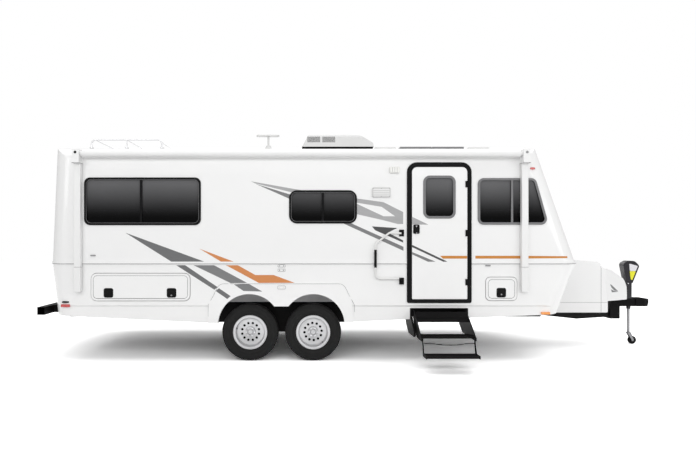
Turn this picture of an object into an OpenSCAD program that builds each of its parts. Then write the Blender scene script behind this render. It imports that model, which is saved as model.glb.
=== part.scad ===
// Travel caravan, twin axle, on its wheels and tongue jack. Millimetres, +Z up, +X to the hitch.
// Stations are measured from the middle of the axle pair, on the centre line. Heights are measured
// from a level 20 mm above the ground.
// The finished model is moved so that its origin is the centre of the coupler's ball socket.

/* [Shell] */
// Half of the body's width
half_w = 1220; // [1180:5:1240]
// Thickness of the moulded wall with its lining
wall = 40; // [30:1:50]
// Height of the seam between the two shell halves
belt_z = 1229; // [1200:1:1260]
// Rear end of the body at the seam
rear_x = -2990; // [-3050:5:-2950]
// Front end of the body at the seam
front_x = 3825; // [3780:5:3880]
// Lean of the upper front wall from upright, in degrees
front_lean = 19.4; // [15:0.1:22]
// Undercut of the lower front wall, in degrees
front_tuck = 20.8; // [16:0.1:24]
// Lean of the upper rear wall, in degrees
rear_lean = 2.5; // [1:0.1:5]
// Undercut of the lower rear wall, in degrees
rear_tuck = 6.3; // [3:0.1:9]
// Radius of the body's upright corners
corner_r = 250; // [180:5:280]
// Height of the roof's middle
roof_z = 2833; // [2800:1:2860]
// Underside and top of the floor deck
deck_z = [690, 730]; // [650:5:760]

/* [Running gear] */
// Distance of each axle from the middle of the pair
axle_x = 406; // [390:1:420]
// Tyre radius
tyre_r = 364; // [340:1:370]
// Height of the wheels' middles
wheel_z = 344; // [335:1:365]
// Tyre width
tyre_w = 225; // [205:5:235]
// Distance from the centre line to a wheel's middle
track_y = 1027.5; // [1000:0.5:1040]
// Radius of the wheel arch openings
arch_r = 397; // [385:1:405]
// Height of the arch openings' centres
arch_z = 451; // [440:1:460]

/* [Hitch] */
// Station of the coupler's ball socket
hitch_x = 5370; // [5300:5:5400]
// Height of the coupler's ball centre
hitch_z = 590; // [560:5:620]
// Radius of the coupler's ball socket
socket_r = 29.6; // [25.6:0.1:30]
// Station of the tongue jack
jack_x = 5150; // [5140:1:5180]

/* [Entry door] */
// Door opening: rear edge, lower edge, front edge, upper edge
doorway = [1650, 779, 2360, 2462]; // [779:1:2462]
// Thickness of the door
door_t = 45; // [35:1:50]

/* [Hidden] */
$fn = 48;

gap = 6;                     // running gap round doors and lids
skin = 0.5;                  // clearance of a piece that is set into another
high = 3400;                 // above everything
crease_z = 696;              // the skirt steps in below this line
crease_in = 12;
roof_corner = 2688;          // where wall and roof lines meet before rounding
roof_apex = 2905;            // where the two roof slopes meet before rounding
roof_r = 4586;               // rounding of the roof's crown
ground = -20;
rail_y = [745, 805];         // chassis rail, inner and outer face
rail_z = [500, 690];
leg_end_x = 4818;            // the tongue's riser block starts here
stub_r = 30;                 // wheel spindle
tube_r = 38;                 // axle tube
door_proud = 16;              // the door stands this far out of the wall
door_pin = [2372, -half_w - 22];
step_pin = [-half_w - 442, 352];   // where the lower step folds, across and up
white = "whitesmoke";
dark = "dimgray";
black = [0.12, 0.12, 0.13];

// Windows: rear edge, lower edge, front edge low, front edge high, upper edge, corner radius, divider
SIDE_WINDOWS = [
    [-2500, 1721, -1020, -1020, 2326, 75, -1779],
    [98, 1742, 958, 958, 2164, 100, 526],
    [2491, 1727, 3391, 3223, 2318, 75, 2924]];
FAR_WINDOWS = [
    [-2500, 1721, -1020, -1020, 2326, 75, -1779],
    [1250, 1742, 2110, 2110, 2164, 100, 1678],
    [2491, 1727, 3391, 3223, 2318, 75, 2924]];
// On the end walls the first column is across the body and heights are up the slope from the seam
FRONT_WINDOW = [-760, 430, 760, 760, 960, 90, 0];
REAR_WINDOW = [-400, 500, 700, 700, 1060, 90, 150];
DOOR_WINDOW = [1799, 1807, 2203, 2203, 2345, 80, 9999];
// Storage hatches: rear edge, lower edge, front edge, upper edge
REAR_HATCH = [-2411, 763, -1159, 1109];
FRONT_HATCH = [2594, 766, 2986, 1060];
// Wheels: name, station, side, turn of the hand holes
WHEELS = [["near_rear", -1, -1, 15], ["near_front", 1, -1, 5], ["far_rear", -1, 1, 15], ["far_front", 1, 1, 5]];
// Roof vents: station, half width
VENTS = [[1486, 165], [2860, 165]];

function unit(v) = v / norm(v);
function arc_steps(r, sweep) = max(3, ceil(abs(sweep) / (r > 150 ? 7.5 : 15)));
function fillet(a, c, b, r) =
    let (u = unit(a - c), v = unit(b - c), half = acos(u * v) / 2,
         mid = c + unit(u + v) * r / sin(half),
         from = c + u * r / tan(half) - mid, to = c + v * r / tan(half) - mid,
         start = atan2(from.y, from.x),
         sweep = (atan2(to.y, to.x) - start + 540) % 360 - 180,
         n = arc_steps(r, sweep))
    [for (i = [0:n]) mid + r * [cos(start + sweep * i / n), sin(start + sweep * i / n)]];
// A closed outline from corners given as [across, up, radius]
function outline(p) = [for (i = [0:len(p) - 1])
    let (n = len(p), a = p[(i + n - 1) % n], c = p[i], b = p[(i + 1) % n])
    each (c[2] > 0 ? fillet([a.x, a.y], [c.x, c.y], [b.x, b.y], c[2]) : [[c.x, c.y]])];
function box_outline(b, r, i = 0) = outline([[b[0] + i, b[1] + i, r], [b[2] - i, b[1] + i, r],
    [b[2] - i, b[3] - i, r], [b[0] + i, b[3] - i, r]]);
// The same with its own radius at the feet
function door_outline(b, r, foot, i = 0) = outline([[b[0] + i, b[1] + i, foot], [b[2] - i, b[1] + i, foot],
    [b[2] - i, b[3] - i, r], [b[0] + i, b[3] - i, r]]);
// A window's outline, drawn in by i from its outer edge
function window_outline(w, i) =
    let (lean = (w[3] - w[2]) / (w[4] - w[1]), in = i * sqrt(1 + lean * lean), r = max(w[5] - i, 12))
    outline([[w[0] + i, w[1] + i, r], [w[2] + lean * i - in, w[1] + i, r],
        [w[3] - lean * i - in, w[4] - i, r], [w[0] + i, w[4] - i, r]]);

// Outlines drawn as along, up and extruded across the body from y0 to y1
module across(y0, y1) { translate([0, y1, 0]) rotate([90, 0, 0]) linear_extrude(y1 - y0) children(); }
// Outlines drawn as across, up and extruded along the body from x0 to x1
module along(x0, x1) { translate([x0, 0, 0]) rotate([90, 0, 90]) linear_extrude(x1 - x0) children(); }
module block(low, high) { translate(low) cube(high - low); }
module rod(p, q, r) {
    d = q - p;
    translate(p) rotate([0, acos(d.z / norm(d)), atan2(d.y, d.x)]) cylinder(h = norm(d), r = r);
}
module bent_rod(points, r) {
    for (i = [0:len(points) - 2]) rod(points[i], points[i + 1], r);
    for (i = [1:len(points) - 2]) translate(points[i]) sphere(r * 1.04);
}
module turned(x, y, z) { translate([x, y, z]) rotate([90, 0, 0]) children(); }
module both_sides() { children(); mirror([0, 1, 0]) children(); }
// Work planes: outline across and up, extrusion outwards
module on_near() { translate([0, -half_w, 0]) rotate([90, 0, 0]) children(); }
module on_far() { mirror([0, 1, 0]) on_near() children(); }
module on_front() { translate([front_x, 0, belt_z]) rotate([0, -front_lean, 0]) rotate([90, 0, 90]) children(); }
module on_rear() { translate([rear_x, 0, belt_z]) rotate([0, rear_lean, 0]) rotate([90, 0, -90]) children(); }
module place() { translate([-hitch_x, 0, -hitch_z]) children(); }

// A leaning prism whose end corners are rounded, from which the shell halves are cut
module end_prism(x, lean, face, in) {
    reach = 9000;
    r = corner_r - in;
    w = half_w - in;
    translate([x, 0, belt_z]) rotate([0, -lean * face, 0]) translate([-face * in, 0, -reach])
        linear_extrude(2 * reach) polygon(outline([[-face * reach, -w, 0], [0, -w, r], [0, w, r], [-face * reach, w, 0]]));
}
module roof_section(in) {
    w = half_w - in;
    polygon(outline([[-w, 0, 0], [w, 0, 0], [w, roof_corner - in, 170 - in], [0, roof_apex - in, roof_r],
        [-w, roof_corner - in, 170 - in]]));
}
module roof_profile(in) {
    top = roof_z + 3 - in;
    rise = top - belt_z;
    back = rear_x + in / cos(rear_lean) + rise * tan(rear_lean);
    nose = front_x - in / cos(front_lean) - rise * tan(front_lean);
    polygon(outline([[rear_x + in / cos(rear_lean) - 400 * tan(rear_lean), belt_z - 400, 0],
        [front_x - in / cos(front_lean) + 400 * tan(front_lean), belt_z - 400, 0],
        [nose, top, 300 - in], [back, top, 200 - in]]));
}
module upper_form(in = 0) {
    intersection() {
        along(rear_x - 100, front_x + 100) roof_section(in);
        across(-half_w - 10, half_w + 10) roof_profile(in);
        end_prism(front_x, front_lean, 1, in);
        end_prism(rear_x, rear_lean, -1, in);
    }
}
module lower_section(in) {
    w = half_w - in;
    polygon([[-w, belt_z + 50], [-w, crease_z + 8], [-w + crease_in, crease_z - 8], [-w + crease_in, 300],
        [w - crease_in, 300], [w - crease_in, crease_z - 8], [w, crease_z + 8], [w, belt_z + 50]]);
}
module lower_form(in = 0) {
    intersection() {
        along(rear_x - 100, front_x + 100) lower_section(in);
        end_prism(front_x, -front_tuck, 1, in);
        end_prism(rear_x, -rear_tuck, -1, in);
    }
}
module belt_plan(in) {
    polygon(outline([[rear_x + in, -half_w + in, corner_r - in], [front_x - in, -half_w + in, corner_r - in],
        [front_x - in, half_w - in, corner_r - in], [rear_x + in, half_w - in, corner_r - in]]));
}
module window_hole(w) { translate([0, 0, -wall - 40]) linear_extrude(wall + 100) polygon(window_outline(w, 14)); }
module window_ring(w) {
    difference() {
        union() {
            linear_extrude(10) polygon(window_outline(w, 0));
            translate([0, 0, -wall]) linear_extrude(wall + 5) polygon(window_outline(w, 14 + skin));
        }
        translate([0, 0, -wall - 10]) linear_extrude(wall + 40) window_lights(w, 30);
    }
}
// The glazed openings on each side of a window's divider
module window_lights(w, in) {
    intersection() {
        polygon(window_outline(w, in));
        translate([w[0], w[1]]) square([w[6] - 14 - (in - 30) - w[0], w[4] - w[1]]);
    }
    intersection() {
        polygon(window_outline(w, in));
        translate([w[6] + 14 + (in - 30), w[1]]) square([max(w[2] - w[6], 1), w[4] - w[1]]);
    }
}
module window_pane(w) { translate([0, 0, -14]) linear_extrude(6) window_lights(w, 30 + skin); }
module each_window() {
    for (w = SIDE_WINDOWS) on_near() { $w = w; children(); }
    for (w = FAR_WINDOWS) on_far() { $w = w; children(); }
    on_front() { $w = FRONT_WINDOW; children(); }
    on_rear() { $w = REAR_WINDOW; children(); }
}

module upper_shell() {
    color(white) place() difference() {
        union() {
            intersection() {
                upper_form();
                block([-4000, -2000, belt_z], [5000, 2000, high]);
            }
            difference() {
                translate([0, 0, belt_z]) linear_extrude(28) belt_plan(-8);
                block([1591, -1300, belt_z - 20], [2412, -half_w + 20, belt_z + 60]);
            }
        }
        upper_form(wall);
        each_window() window_hole($w);
        on_near() translate([0, 0, -wall - 60]) linear_extrude(200) polygon(box_outline([1606, 748, 2397, 2504], 111));
        for (v = VENTS) block([v[0] - 145, -145, 2700], [v[0] + 145, 145, high]);
    }
}

module skirt_outline() {
    // Lower edge of the skirt, rear to front, then up
    polygon([[-3200, 590], [-2889, 574], [-820, 476], [830, 490], [1593, 525], [2405, 544], [3700, 596],
        [4200, 600], [4200, belt_z], [-3200, belt_z]]);
}
module arch_outline() {
    for (s = [-1, 1]) {
        translate([s * axle_x, arch_z]) circle(arch_r);
        translate([s * axle_x - arch_r, 300]) square([2 * arch_r, arch_z - 300]);
    }
    translate([-110, 300]) square([220, 392]);
}
module flare_outline() {
    polygon(outline([[-925, 480, 0], [-925, 988, 330], [744, 988, 40], [893, 780, 60], [918, 492, 0]]));
}
module lower_shell() {
    color(white) place() difference() {
        union() {
            difference() {
                intersection() {
                    lower_form();
                    across(-1300, 1300) skirt_outline();
                }
                lower_form(wall);
            }
            both_sides() across(half_w - crease_in - 1, half_w + 12) flare_outline();
        }
        both_sides() across(1100, 1300) arch_outline();
        on_near() translate([0, 0, -wall - 60]) linear_extrude(200) polygon(box_outline([1606, 748, 2397, 2504], 20));
        block([1634, -1300, 400], [2374, -1100, 668]);
        both_sides() block([-3100, 743, 480], [-2800, 807, 665]);
        both_sides() across(1100, 1300) polygon(box_outline(REAR_HATCH, 76, -gap));
        across(-1300, -1100) polygon(box_outline(FRONT_HATCH, 60, -gap));
    }
}
module floor_deck() {
    color("burlywood") place() difference() {
        intersection() {
            lower_form(wall + 1);
            block([-4000, -2000, deck_z[0]], [5000, 2000, deck_z[1]]);
        }
        both_sides() block([-880, 860, 600], [880, 1300, 800]);
    }
}
module wheel_wells() {
    color(dark) place() both_sides() difference() {
        block([-870, 870, crease_z + 12], [870, half_w - wall - 1, 905]);
        block([-858, 882, crease_z], [858, half_w, 893]);
    }
}
module storage_boxes() {
    color("lightgray") place() {
        both_sides() difference() {
            block([REAR_HATCH[0] - 20, 690, deck_z[1]], [REAR_HATCH[2] + 20, half_w - wall - 2, 1150]);
            block([REAR_HATCH[0] - 8, 702, deck_z[1] + 12], [REAR_HATCH[2] + 8, half_w, 1138]);
        }
        mirror([0, 1, 0]) difference() {
            block([FRONT_HATCH[0] - 20, 690, deck_z[1]], [FRONT_HATCH[2] + 20, half_w - wall - 2, 1100]);
            block([FRONT_HATCH[0] - 8, 702, deck_z[1] + 12], [FRONT_HATCH[2] + 8, half_w, 1088]);
        }
    }
}

// One chassis rail with its leg of the tongue, on the +Y side
module rail_with_leg() {
    block([-2865, rail_y[0], rail_z[0]], [3480, rail_y[1], rail_z[1]]);
    intersection() {
        translate([2900, 735, 0]) rotate([0, 0, -19.6]) across(-25, 25)
            polygon([[-40, 588], [640, 588], [720, 500], [2300, 500], [2300, 395], [1400, 395], [700, 487], [-40, 520]]);
        block([2800, 20, 300], [leg_end_x, rail_y[1], 700]);
    }
}
module near_rail() { color(black) place() mirror([0, 1, 0]) rail_with_leg(); }
module far_rail() { color(black) place() rail_with_leg(); }
module crossmembers() {
    color(black) place() for (x = [-2700, -1900, -1100, 0, 1100, 1900, 2700])
        block([x - 30, -rail_y[0], 560], [x + 30, rail_y[0], rail_z[1]]);
}
module coupler() {
    color(black) place() difference() {
        union() {
            block([leg_end_x, -100, 370], [4963, 100, 657]);
            block([4950, -50, 547], [5260, 50, 657]);
            intersection() {
                across(-62, 62) polygon(outline([[5225, 547, 0], [5225, 673, 0], [5330, 673, 30], [5438, 655, 20],
                    [5438, 625, 20], [5410, 547, 10]]));
                translate([0, 0, 500]) linear_extrude(300) polygon(outline([[5225, -62, 0], [5350, -62, 40],
                    [5438, -35, 30], [5438, 35, 30], [5350, 62, 40], [5225, 62, 0]]));
            }
        }
        translate([hitch_x, 0, 540]) cylinder(h = 60, r = socket_r);
        translate([jack_x, 0, 500]) cylinder(h = 300, r = 29.5);
    }
}
module rear_bumper() {
    color(black) place() {
        difference() {
            block([-3174, -1070, 561], [-3076, 1070, 663]);
            block([-3169, -1071, 566], [-3081, 1071, 658]);
        }
        both_sides() block([-3076, 745, 561], [-2865, 805, 663]);
    }
}
module axles() {
    color(black) place() for (x = [-axle_x, axle_x]) {
        turned(x, 855, wheel_z) cylinder(h = 1710, r = tube_r);
        both_sides() {
            turned(x, 955, wheel_z) cylinder(h = 105, r = 150);
            turned(x, 1060, wheel_z) cylinder(h = 110, r = stub_r);
        }
    }
}
module spring_leaf() {
    span = 330;
    sag = 40;
    seat = wheel_z - tube_r - 0.3;
    top = [for (x = [-span:55:span]) [x, seat + sag * x * x / (span * span)]];
    polygon(concat(top, [for (i = [len(top) - 1:-1:0]) [top[i].x, top[i].y - 30]]));
}
module springs() {
    color(dark) place() both_sides() {
        for (s = [-1, 1]) {
            across(750, 800) translate([s * axle_x, 0]) spring_leaf();
            across(750, 800) polygon([[s * 690, 500], [s * 770, 500], [s * 745, 320], [s * 715, 320]]);
        }
        across(750, 800) polygon([[-55, 500], [55, 500], [30, 372], [80, 352], [80, 322], [0, 300], [-80, 322],
            [-80, 352], [-30, 372]]);
        // Splash panel behind the wheels
        across(811, 817) polygon([[-868, 690], [868, 690], [868, 430], [115, 430], [80, 300], [-80, 300],
            [-115, 430], [-868, 430]]);
    }
}

module window_frames() { color(black) place() each_window() window_ring($w); }
module window_glass() { color([0.1, 0.1, 0.12, 0.7]) place() each_window() window_pane($w); }

module door_frame() {
    outer = [1592, 734, 2411, 2518];
    color(black) place() on_near() difference() {
        union() {
            linear_extrude(14) polygon(door_outline(outer, 125, 24));
            translate([0, 0, -wall - 20]) linear_extrude(wall + 25) polygon(door_outline(outer, 110, 20, 15));
        }
        translate([0, 0, -100]) linear_extrude(200) polygon(door_outline(doorway, 70, 14));
    }
}
module entry_door() {
    color(white) place() difference() {
        union() {
            on_near() translate([0, 0, door_proud - door_t]) linear_extrude(door_t)
                polygon(door_outline(doorway, 64, 8, gap));
            for (z = [1000, 1620, 2240]) {
                translate([door_pin.x, door_pin.y, z - 45]) cylinder(h = 90, r = 7);
                block([door_pin.x - 42, door_pin.y - 3, z - 40], [door_pin.x, -half_w - door_proud + 0.5, z + 40]);
            }
        }
        on_near() translate([0, 0, -100]) linear_extrude(200) polygon(window_outline(DOOR_WINDOW, 16));
    }
}
module door_glass() {
    color([0.1, 0.1, 0.12, 0.7]) place() on_near() translate([0, 0, -6]) linear_extrude(6)
        polygon(window_outline(DOOR_WINDOW, 16 + skin));
}
module hatch_panel(b, r, latches) {
    on_near() translate([0, 0, -25]) linear_extrude(33) polygon(box_outline(b, r));
    for (x = latches) on_near() linear_extrude(14) polygon(box_outline([x - 60, b[1] + 40, x + 60, b[1] + 160], 25));
}
module rear_hatch() { color(white) place() hatch_panel(REAR_HATCH, 70, [-2190, -1391]); }
module front_hatch() { color(white) place() hatch_panel(FRONT_HATCH, 54, [2787]); }
module off_side_hatch() { color(white) place() mirror([0, 1, 0]) hatch_panel(REAR_HATCH, 70, [-2190, -1391]); }

module awning_roller() {
    color(white) place() translate([-2491, -half_w - 70, 2618]) rotate([0, 90, 0]) cylinder(h = 5485, r = 50);
}
module awning_arms() {
    color(white) place() for (a = [[-2563, 1], [3066, -1]]) {
        block([a[0] - 40, -half_w - 70, 880], [a[0] + 40, -half_w - 12, 2498]);
        block([a[0] - 44, -half_w - 128, 2498], [a[0] + 44, -half_w, 2668]);
        block([a[0] - 30, -half_w - 12, 880], [a[0] + 30, -half_w, 960]);
        translate([a[0] + a[1] * 43, -half_w - 70, 2618]) rotate([0, a[1] * 90, 0]) cylinder(h = 28, r = 30);
    }
}
module handle_mounts() {
    color(black) place() for (m = [[971, 975], [1580, 1640]]) {
        block([1494, -half_w - 14, m[0]], [1554, -half_w, m[0] + 84]);
        block([1508, -half_w - 46, m[1]], [1540, -half_w - 10, m[1] + 20]);
    }
}
module grab_handle() {
    y = -half_w - 32;
    color("gainsboro") place() {
        bent_rod([[1524, y, 1634], [1524, y, 1618], [1362, y, 1622], [1200, y, 1490], [1190, y, 1460],
            [1190, y, 1080], [1225, y, 1044], [1500, y, 1044], [1524, y, 1030], [1524, y, 1001]], 11);
        translate([1190, y, 1184]) cylinder(h = 226, r = 15);
    }
}

module step_housing() {
    inner = -half_w + 400;
    color(black) place() {
        for (x = [1640, 2342]) step_slice(x, x + 26)
            polygon([[-4, 662], [-400, 662], [-400, 540], [-290, 420], [-150, 333], [165, 333], [195, 350],
                [195, 400], [30, 530], [-4, 560]]);
        block([1646, -half_w + 4, 656], [2362, inner, 662]);
        block([1646, inner - 6, 545], [2362, inner, 656]);
    }
}
// The steps are drawn in the plane across the body; x0 and x1 are a piece's faces along the body
module step_slice(x0, x1) { along(x0, x1) translate([-half_w, 0]) mirror([1, 0]) children(); }
module upper_step() {
    color(black) place() {
        step_slice(1680, 2320) translate([205, 357]) square([207, 21]);
        step_slice(1680, 2320) translate([150, 518]) square([32, 42]);
        step_slice(1680, 2320) translate([150, 555]) square([8, 85]);
        for (x = [1672, 2320]) step_slice(x, x + 8)
            polygon([[-15, 645], [70, 645], [420, 400], [462, 372], [462, 332], [205, 332], [-15, 552]]);
        for (x = [1680, 2304]) translate([x, step_pin.x, step_pin.y]) rotate([0, 90, 0]) cylinder(h = 16, r = 8);
    }
}
module lower_step() {
    color(black) place() difference() {
        union() {
            step_slice(1695, 2305) translate([450, 169]) square([200, 21]);
            for (x = [1688, 2305]) step_slice(x, x + 7)
                polygon([[425, 368], [459, 368], [520, 200], [650, 200], [650, 160], [470, 160]]);
        }
        translate([1670, step_pin.x, step_pin.y]) rotate([0, 90, 0]) cylinder(h = 700, r = 8.1);
    }
}

module air_conditioner() {
    color(white) place() {
        block([274, -340, roof_z + 1], [1280, 340, 2872]);
        intersection() {
            across(-350, 350) polygon(outline([[262, 2870, 0], [1290, 2870, 0], [1285, 2925, 50], [1090, 3046, 150],
                [352, 3046, 40], [285, 2910, 30]]));
            along(200, 1400) polygon(outline([[-350, 2870, 0], [350, 2870, 0], [338, 3050, 60], [-338, 3050, 60]]));
        }
    }
}
module vent_bases() {
    color("gainsboro") place() for (v = VENTS) difference() {
        block([v[0] - v[1], -v[1], 2834], [v[0] + v[1], v[1], 2858]);
        block([v[0] - 140, -140, 2800], [v[0] + 140, 140, 2900]);
    }
}
module vent_lid(v) {
    color("gainsboro") place() translate([v[0], 0, 2864]) intersection() {
        across(-160, 160) polygon(outline([[-160, 0, 0], [160, 0, 0], [155, 40, 25], [-155, 40, 25]]));
        along(-160, 160) polygon(outline([[-160, 0, 0], [160, 0, 0], [155, 40, 25], [-155, 40, 25]]));
    }
}
module mid_vent_lid() { vent_lid(VENTS[0]); }
module front_vent_lid() { vent_lid(VENTS[1]); }
module antenna_mast() {
    color("gainsboro") place() translate([-218, -350, 2823]) {
        cylinder(h = 60, r1 = 62, r2 = 30);
        cylinder(h = 187, r = 14);
    }
}
module antenna_head() {
    color("gainsboro") place() translate([0, -350, 3012]) linear_extrude(22)
        polygon(outline([[-390, -42, 40], [-60, -42, 40], [-60, 42, 40], [-390, 42, 40]]));
}
module solar_panels() {
    color([0.05, 0.06, 0.1]) place() for (x = [1672, 2135]) block([x, -330, 2838], [x + 452, 330, 2873]);
}
module roof_rack() {
    color("silver") place() {
        both_sides() bent_rod([[-2620, 700, 2784], [-2620, 700, 2868], [-2580, 700, 2903], [-1760, 700, 2903],
            [-1670, 700, 2862], [-1640, 700, 2784]], 11);
        both_sides() rod([-2125, 700, 2784], [-2125, 700, 2900], 9);
        for (x = [-2570, -2125, -1780]) rod([x, -700, 2903], [x, 700, 2903], 9);
    }
}
module rear_ladder() {
    out = 110;
    function stand_x(z) = rear_x - out + (z - belt_z) * tan(rear_lean);
    color("silver") place() {
        for (s = [[520, 2814], [870, 2764]]) {
            y = s[0];
            rod([stand_x(672), y, 672], [stand_x(2700), y, 2700], 12);
            rod([stand_x(2690), y, 2690], [-2880, y, 2894], 11.5);
            rod([-2888, y, 2890], [-2760, y, s[1]], 11);
            rod([stand_x(2200), y, 2200], [stand_x(2200) + out - 2, y, 2200], 9);
            rod([stand_x(900), y, 900], [stand_x(900) + out + 48, y, 900], 9);
        }
        for (z = [700:270:2590]) rod([stand_x(z), 520, z], [stand_x(z), 870, z], 10);
    }
}
module gas_cover() {
    color(white) place() {
        across(-420, 420) polygon(outline([[3860, 1262, 0], [4488, 1221, 40], [4566, 952, 200], [4602, 650, 0],
            [4602, 501, 20], [3715, 501, 40], [3680, 640, 0], [3650, 655, 0]]));
        difference() {
            intersection() {
                across(-420, 420) polygon(outline([[4400, 1175, 0], [4700, 1102, 300], [4958, 968, 150],
                    [5024, 850, 100], [5046, 662, 0], [4400, 662, 0]]));
                translate([0, 0, 600]) linear_extrude(700) polygon(outline([[4400, -400, 0], [4590, -400, 60],
                    [5060, -150, 110], [5060, 150, 110], [4590, 400, 60], [4400, 400, 0]]));
            }
            block([4300, -500, 400], [4500, 500, 1300]);
        }
    }
}
module jack_body() {
    color(black) place() difference() {
        union() {
            translate([jack_x, 0, 505]) cylinder(h = 300, r = 29);
            block([5103, -40, 657], [5177, 40, 905]);
            across(-55, 55) polygon(outline([[5096, 892, 0], [5036, 1186, 55], [5120, 1226, 70], [5215, 1220, 70],
                [5284, 1150, 40], [5184, 900, 12], [5178, 892, 0]]));
        }
        translate([jack_x, 0, 500]) cylinder(h = 400, r = 24);
    }
}
module jack_leg() {
    color("lightgray") place() difference() {
        translate([jack_x, 0, 184 + ground]) cylinder(h = 460, r = 19);
        translate([jack_x, 0, 180 + ground]) cylinder(h = 70, r = 10);
    }
}
module caster_fork() {
    color(dark) place() translate([0, 0, ground]) {
        translate([jack_x, 0, 170]) cylinder(h = 74, r = 9.95);
        translate([jack_x, 0, 170]) cylinder(h = 8, r = 30);
        for (s = [-1, 1]) across(s * 24 - 3, s * 24 + 3)
            polygon([[jack_x - 24, 171], [jack_x + 24, 171], [jack_x + 67, 62], [jack_x + 56, 45],
                [jack_x + 38, 46], [jack_x + 32, 66]]);
        turned(jack_x + 50, 27, 60) cylinder(h = 54, r = 6);
    }
}
module caster_wheel() {
    color(black) place() turned(jack_x + 50, 15, 60 + ground) difference() {
        cylinder(h = 30, r = 60);
        translate([0, 0, -1]) cylinder(h = 40, r = 6.05);
    }
}

module lamps() {
    color("white") place() {
        on_near() linear_extrude(36) polygon(box_outline([1370, 2379, 1496, 2459], 12));
        for (y = [-700, 700]) translate([rear_x + 42, y, 830]) rotate([0, -rear_tuck, 0])
            block([-28, -100, -60], [-2, 100, 60]);
    }
}
module side_vents() {
    color(white) place() {
        on_near() linear_extrude(18) polygon(box_outline([1150, 2073, 1385, 2200], 20));
        on_far() linear_extrude(14) polygon(box_outline([100, 1290, 620, 1640], 20));
        on_far() linear_extrude(14) polygon(box_outline([100, 2240, 620, 2460], 20));
        on_far() linear_extrude(14) polygon(box_outline([1300, 860, 1750, 1190], 20));
    }
}

// Wheels are turned about their own axle; the profile's second column is distance inwards
module wheel_place(w) {
    place() translate([w[1] * axle_x, w[2] * track_y, wheel_z]) rotate([-90 * w[2], 0, 0]) mirror([0, 0, 1]) children();
}
module tyre(w) {
    half = tyre_w / 2;
    color(black) wheel_place(w) rotate_extrude($fn = 96)
        polygon(outline([[196, -79, 0], [220, -79, 0], [224, -95, 0], [285, -half, 60], [tyre_r, -half + 8, 30],
            [tyre_r, half - 8, 30], [285, half, 60], [224, 95, 0], [220, 79, 0], [196, 79, 0]]));
}
module rim(w) {
    color("gainsboro") wheel_place(w) difference() {
        rotate_extrude($fn = 96) polygon([[0, -58], [38, -58], [44, -50], [58, -46], [66, -22], [150, -34], [178, -30],
            [184, -70], [190, -86], [212, -86], [214, -92], [219, -92], [219, -80], [195, -80], [195, 80], [219, 80],
            [219, 88], [184, 88], [184, -20], [150, -24], [70, -12], [58, 40], [0, 40]]);
        for (a = [0:30:330]) rotate([0, 0, a + w[3]]) translate([112, 0, -60]) cylinder(h = 80, r = 16.5);
        translate([0, 0, -38]) cylinder(h = 90, r = stub_r + 0.05);
    }
}
module tyre_near_rear() { tyre(WHEELS[0]); }
module tyre_near_front() { tyre(WHEELS[1]); }
module tyre_far_rear() { tyre(WHEELS[2]); }
module tyre_far_front() { tyre(WHEELS[3]); }
module rim_near_rear() { rim(WHEELS[0]); }
module rim_near_front() { rim(WHEELS[1]); }
module rim_far_rear() { rim(WHEELS[2]); }
module rim_far_front() { rim(WHEELS[3]); }

upper_shell();
lower_shell();
floor_deck();
wheel_wells();
storage_boxes();
near_rail();
far_rail();
crossmembers();
coupler();
rear_bumper();
axles();
springs();
window_frames();
window_glass();
door_frame();
entry_door();
door_glass();
rear_hatch();
front_hatch();
off_side_hatch();
awning_roller();
awning_arms();
handle_mounts();
grab_handle();
step_housing();
upper_step();
lower_step();
air_conditioner();
vent_bases();
mid_vent_lid();
front_vent_lid();
antenna_mast();
antenna_head();
solar_panels();
roof_rack();
rear_ladder();
gas_cover();
jack_body();
jack_leg();
caster_fork();
caster_wheel();
lamps();
side_vents();
tyre_near_rear();
tyre_near_front();
tyre_far_rear();
tyre_far_front();
rim_near_rear();
rim_near_front();
rim_far_rear();
rim_far_front();
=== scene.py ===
import math

import bmesh
import bpy
from mathutils import Matrix, Vector
from mathutils.bvhtree import BVHTree


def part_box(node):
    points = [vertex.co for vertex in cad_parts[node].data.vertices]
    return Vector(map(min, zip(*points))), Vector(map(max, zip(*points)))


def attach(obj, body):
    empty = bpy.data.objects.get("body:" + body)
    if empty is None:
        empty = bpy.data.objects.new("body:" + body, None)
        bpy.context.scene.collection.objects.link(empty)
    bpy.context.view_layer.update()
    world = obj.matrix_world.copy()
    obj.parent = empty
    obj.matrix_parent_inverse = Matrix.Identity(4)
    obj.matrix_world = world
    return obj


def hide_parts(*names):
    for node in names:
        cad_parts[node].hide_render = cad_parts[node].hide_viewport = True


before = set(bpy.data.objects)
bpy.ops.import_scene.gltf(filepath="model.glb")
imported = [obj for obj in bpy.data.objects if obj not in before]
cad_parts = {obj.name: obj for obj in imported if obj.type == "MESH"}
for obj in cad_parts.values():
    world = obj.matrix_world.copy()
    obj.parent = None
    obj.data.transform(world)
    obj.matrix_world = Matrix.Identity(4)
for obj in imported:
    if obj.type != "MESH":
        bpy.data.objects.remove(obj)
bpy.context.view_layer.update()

# The datum is midway between the two axles, on the centre line, a little above the ground
bodySizes = {"datumLift": 0.020, "flange": 0.008, "belt": 1.229, "rearLean": 2.5, "frontLean": 19.4}
mergeGap = 0.00002
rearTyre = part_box("tyre_near_rear")
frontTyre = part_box("tyre_near_front")
datum = Vector(((rearTyre[0].x + frontTyre[1].x) / 2, 0, rearTyre[0].z + bodySizes["datumLift"]))
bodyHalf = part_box("upper_shell")[1].y - bodySizes["flange"]     # the belt flange stands out of the wall


def at(x, y, z):
    return datum + Vector((x, y, z))


# Where an end wall that leans by some degrees stands at a height, from its place at the belt
def leaning(x, z, degrees):
    return x + (z - bodySizes["belt"]) * math.tan(math.radians(degrees))


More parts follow.
